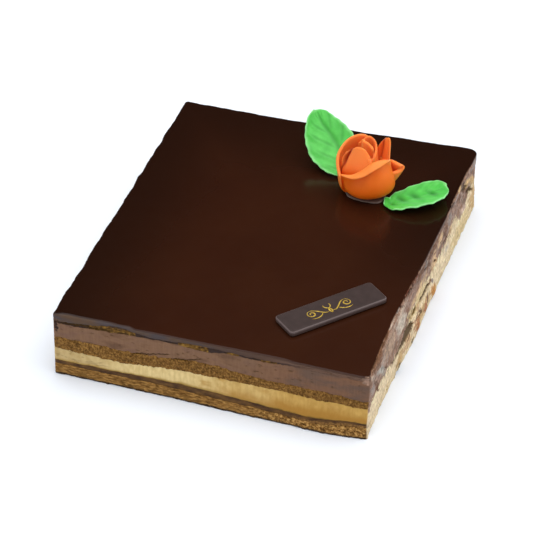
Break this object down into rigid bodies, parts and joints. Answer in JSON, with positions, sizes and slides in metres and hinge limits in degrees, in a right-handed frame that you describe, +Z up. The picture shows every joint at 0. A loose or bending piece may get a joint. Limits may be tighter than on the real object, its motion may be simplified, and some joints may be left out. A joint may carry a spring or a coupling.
{
  "type": "opera cake",
  "caption": "Rectangular layered opera cake with a glossy chocolate glaze, a small chocolate plaque, and a marzipan rose with leaves.",
  "frame": {"origin": "middle of the underside, on the surface that the cake stands on", "axes": "+X to the right along the short front edge, +Y from the front to the back, +Z up"},
  "size_m": [0.1622, 0.2101, 0.0636],
  "materials": {
    "sponge": "crumbly golden-brown almond sponge, fully matt",
    "dark_chocolate": "thin dark chocolate line, slightly waxy",
    "buttercream": "pale coffee buttercream with knife streaks, soft sheen",
    "ganache": "smooth milk-chocolate ganache, soft sheen",
    "glaze": "dark mirror-smooth chocolate glaze",
    "plaque": "moulded dark chocolate with a satin face and a gold transfer ornament",
    "dab": "dab of set dark chocolate",
    "rose_marzipan": "orange marzipan, smooth with a soft sheen",
    "leaf_marzipan": "green marzipan with pressed veins, soft sheen"
  },
  "bodies": {
    "root": {"sponge_bottom": "sponge", "chocolate_layer": "dark_chocolate", "coffee_buttercream": "buttercream", "sponge_middle": "sponge", "ganache": "ganache", "sponge_top": "sponge", "glaze": "glaze", "plaque": "plaque", "rose_dab": "dab", "rose_heart": "rose_marzipan", "rose_petal_left": "rose_marzipan", "rose_petal_front": "rose_marzipan", "rose_petal_right": "rose_marzipan", "rose_petal_upright": "rose_marzipan", "rose_petal_back": "rose_marzipan", "rose_petal_inner": "rose_marzipan", "rose_petal_bud": "rose_marzipan", "leaf_large": "leaf_marzipan", "leaf_small": "leaf_marzipan"}
  },
  "joints": []
}
